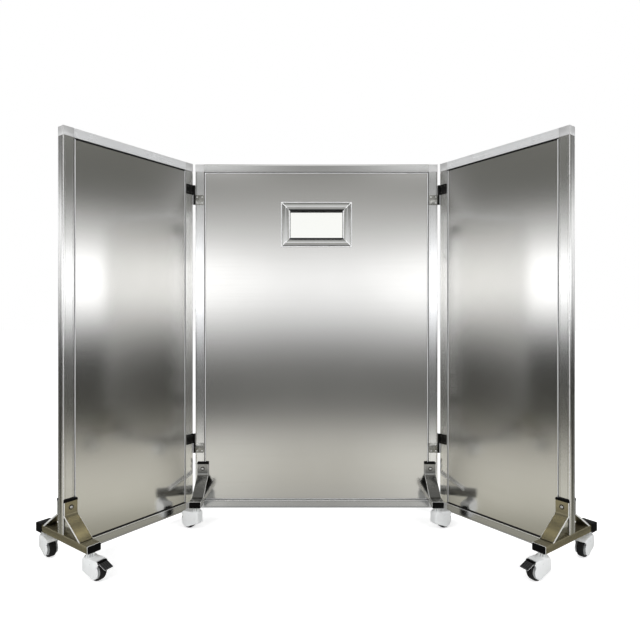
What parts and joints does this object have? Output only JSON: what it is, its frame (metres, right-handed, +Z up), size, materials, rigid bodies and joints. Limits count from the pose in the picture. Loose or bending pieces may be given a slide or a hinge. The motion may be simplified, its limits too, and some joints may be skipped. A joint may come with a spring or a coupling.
{
  "type": "mobile lead barrier",
  "caption": "Free-standing folding radiation screen: lead-lined steel panels with a lead-glass window, hinged side wings and T-feet on swivel casters.",
  "frame": {"origin": "on the floor, in the middle of the footprint of the barrier as it stands half folded", "axes": "+X along the centre panel to the right, seen from the side that the wings fold towards, which faces -Y; +Y towards the rear; +Z up"},
  "size_m": [2.334, 0.8966, 1.74],
  "materials": {
    "panel_steel": "brushed",
    "frame_steel": "satin",
    "foot_steel": "satin",
    "hinge_steel": "satin",
    "lead": "matt",
    "lead_glass": "polished",
    "white_plastic": "gloss",
    "black_plastic": "matt",
    "caster_wheel": "matt"
  },
  "bodies": {
    "centre_section": {"centre_casing": "panel_steel", "centre_lead_sheet": "lead", "centre_stile_left": "frame_steel", "centre_stile_right": "frame_steel", "centre_top_rail": "frame_steel", "centre_bottom_rail": "frame_steel", "window_trim_front": "frame_steel", "window_trim_rear": "frame_steel", "lead_glass": "lead_glass", "hinge_left_upper_pin_leaf": "hinge_steel", "hinge_left_lower_pin_leaf": "hinge_steel", "hinge_right_upper_pin_leaf": "hinge_steel", "hinge_right_lower_pin_leaf": "hinge_steel", "foot_left_inner": "foot_steel", "end_plug_left_inner": "black_plastic", "end_sleeve_left_inner": "black_plastic", "foot_right_inner": "foot_steel", "end_plug_right_inner": "black_plastic", "end_sleeve_right_inner": "black_plastic"},
    "left_wing": {"left_casing": "panel_steel", "left_lead_sheet": "lead", "left_hinge_stile": "frame_steel", "left_end_stile": "frame_steel", "left_top_rail": "frame_steel", "left_bottom_rail": "frame_steel", "hinge_left_upper_wing_leaf": "hinge_steel", "hinge_left_lower_wing_leaf": "hinge_steel", "foot_left_outer": "foot_steel", "end_plug_left_outer": "black_plastic", "end_sleeve_left_outer": "black_plastic"},
    "right_wing": {"right_casing": "panel_steel", "right_lead_sheet": "lead", "right_hinge_stile": "frame_steel", "right_end_stile": "frame_steel", "right_top_rail": "frame_steel", "right_bottom_rail": "frame_steel", "hinge_right_upper_wing_leaf": "hinge_steel", "hinge_right_lower_wing_leaf": "hinge_steel", "foot_right_outer": "foot_steel", "end_plug_right_outer": "black_plastic", "end_sleeve_right_outer": "black_plastic"},
    "caster_left_inner_front": {"caster_housing_left_inner_front": "white_plastic"},
    "wheel_left_inner_front": {"wheel_left_inner_front": "caster_wheel"},
    "caster_left_inner_rear": {"caster_housing_left_inner_rear": "white_plastic"},
    "wheel_left_inner_rear": {"wheel_left_inner_rear": "caster_wheel"},
    "caster_left_outer_front": {"caster_housing_left_outer_front": "white_plastic"},
    "wheel_left_outer_front": {"wheel_left_outer_front": "caster_wheel"},
    "pedal_left_outer": {"brake_pedal_left_outer": "black_plastic"},
    "caster_left_outer_rear": {"caster_housing_left_outer_rear": "white_plastic"},
    "wheel_left_outer_rear": {"wheel_left_outer_rear": "caster_wheel"},
    "caster_right_inner_front": {"caster_housing_right_inner_front": "white_plastic"},
    "wheel_right_inner_front": {"wheel_right_inner_front": "caster_wheel"},
    "caster_right_inner_rear": {"caster_housing_right_inner_rear": "white_plastic"},
    "wheel_right_inner_rear": {"wheel_right_inner_rear": "caster_wheel"},
    "caster_right_outer_front": {"caster_housing_right_outer_front": "white_plastic"},
    "wheel_right_outer_front": {"wheel_right_outer_front": "caster_wheel"},
    "pedal_right_outer": {"brake_pedal_right_outer": "black_plastic"},
    "caster_right_outer_rear": {"caster_housing_right_outer_rear": "white_plastic"},
    "wheel_right_outer_rear": {"wheel_right_outer_rear": "caster_wheel"}
  },
  "joints": [
    {"name": "left_wing_fold", "type": "hinge", "parent": "centre_section", "child": "left_wing", "pos_m": [-0.604, 0.20718, 0.974], "axis": [0, 0, 1], "range_deg": [-54, 20]},
    {"name": "right_wing_fold", "type": "hinge", "parent": "centre_section", "child": "right_wing", "pos_m": [0.604, 0.20718, 0.974], "axis": [0, 0, -1], "range_deg": [-54, 20]},
    {"name": "swivel_left_inner_front", "type": "hinge", "parent": "centre_section", "child": "caster_left_inner_front", "pos_m": [-0.5615, 0.06368, 0.101], "axis": [0, 0, 1], "continuous": true},
    {"name": "roll_left_inner_front", "type": "hinge", "parent": "caster_left_inner_front", "child": "wheel_left_inner_front", "pos_m": [-0.59594, 0.07974, 0.03704], "axis": [-0.4226, -0.9063, 0], "continuous": true},
    {"name": "swivel_left_inner_rear", "type": "hinge", "parent": "centre_section", "child": "caster_left_inner_rear", "pos_m": [-0.5615, 0.39968, 0.101], "axis": [0, 0, 1], "continuous": true},
    {"name": "roll_left_inner_rear", "type": "hinge", "parent": "caster_left_inner_rear", "child": "wheel_left_inner_rear", "pos_m": [-0.59594, 0.41574, 0.03704], "axis": [-0.4226, -0.9063, 0], "continuous": true},
    {"name": "swivel_left_outer_front", "type": "hinge", "parent": "left_wing", "child": "caster_left_outer_front", "pos_m": [-0.85615, -0.38402, 0.101], "axis": [0, 0, 1], "continuous": true},
    {"name": "roll_left_outer_front", "type": "hinge", "parent": "caster_left_outer_front", "child": "wheel_left_outer_front", "pos_m": [-0.8226, -0.40186, 0.03704], "axis": [0.4695, 0.8829, 0], "continuous": true},
    {"name": "press_pedal_left_outer", "type": "hinge", "parent": "caster_left_outer_front", "child": "pedal_left_outer", "pos_m": [-0.79965, -0.41407, 0.0735], "axis": [0.4695, 0.8829, 0], "range_deg": [0, 15]},
    {"name": "swivel_left_outer_rear", "type": "hinge", "parent": "left_wing", "child": "caster_left_outer_rear", "pos_m": [-1.12798, -0.18652, 0.101], "axis": [0, 0, 1], "continuous": true},
    {"name": "roll_left_outer_rear", "type": "hinge", "parent": "caster_left_outer_rear", "child": "wheel_left_outer_rear", "pos_m": [-1.09974, -0.21195, 0.03704], "axis": [0.6691, 0.7431, 0], "continuous": true},
    {"name": "swivel_right_inner_front", "type": "hinge", "parent": "centre_section", "child": "caster_right_inner_front", "pos_m": [0.5615, 0.06368, 0.101], "axis": [0, 0, 1], "continuous": true},
    {"name": "roll_right_inner_front", "type": "hinge", "parent": "caster_right_inner_front", "child": "wheel_right_inner_front", "pos_m": [0.59594, 0.07974, 0.03704], "axis": [-0.4226, 0.9063, 0], "continuous": true},
    {"name": "swivel_right_inner_rear", "type": "hinge", "parent": "centre_section", "child": "caster_right_inner_rear", "pos_m": [0.5615, 0.39968, 0.101], "axis": [0, 0, 1], "continuous": true},
    {"name": "roll_right_inner_rear", "type": "hinge", "parent": "caster_right_inner_rear", "child": "wheel_right_inner_rear", "pos_m": [0.59594, 0.41574, 0.03704], "axis": [-0.4226, 0.9063, 0], "continuous": true},
    {"name": "swivel_right_outer_front", "type": "hinge", "parent": "right_wing", "child": "caster_right_outer_front", "pos_m": [0.85615, -0.38402, 0.101], "axis": [0, 0, 1], "continuous": true},
    {"name": "roll_right_outer_front", "type": "hinge", "parent": "caster_right_outer_front", "child": "wheel_right_outer_front", "pos_m": [0.8226, -0.40186, 0.03704], "axis": [0.4695, -0.8829, 0], "continuous": true},
    {"name": "press_pedal_right_outer", "type": "hinge", "parent": "caster_right_outer_front", "child": "pedal_right_outer", "pos_m": [0.79965, -0.41407, 0.0735], "axis": [0.4695, -0.8829, 0], "range_deg": [0, 15]},
    {"name": "swivel_right_outer_rear", "type": "hinge", "parent": "right_wing", "child": "caster_right_outer_rear", "pos_m": [1.12798, -0.18652, 0.101], "axis": [0, 0, 1], "continuous": true},
    {"name": "roll_right_outer_rear", "type": "hinge", "parent": "caster_right_outer_rear", "child": "wheel_right_outer_rear", "pos_m": [1.09974, -0.21195, 0.03704], "axis": [0.6691, -0.7431, 0], "continuous": true}
  ]
}
